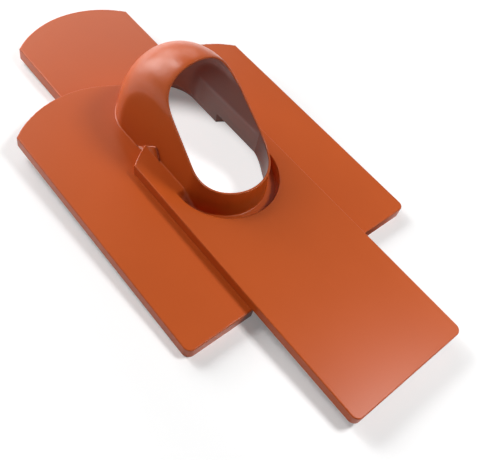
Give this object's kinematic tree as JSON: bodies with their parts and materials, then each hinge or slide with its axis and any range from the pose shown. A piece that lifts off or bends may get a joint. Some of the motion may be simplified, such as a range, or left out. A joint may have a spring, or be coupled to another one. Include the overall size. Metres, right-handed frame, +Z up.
{
  "type": "ventilation roof tile",
  "caption": "One-piece moulded vent tile of overlapping round-tailed plain-tile forms, with a hood whose open oval mouth takes a vent pipe.",
  "frame": {"origin": "on the ground under the middle of the part's bounding box, with the part lying on its skirts", "axes": "+X across the tiles, +Y up the roof slope towards the tiles' straight head ends, +Z up"},
  "size_m": [0.36, 0.7138, 0.1666],
  "materials": {
    "shell": "satin brick red"
  },
  "bodies": {
    "root": {"vent_tile": "shell"}
  },
  "joints": []
}
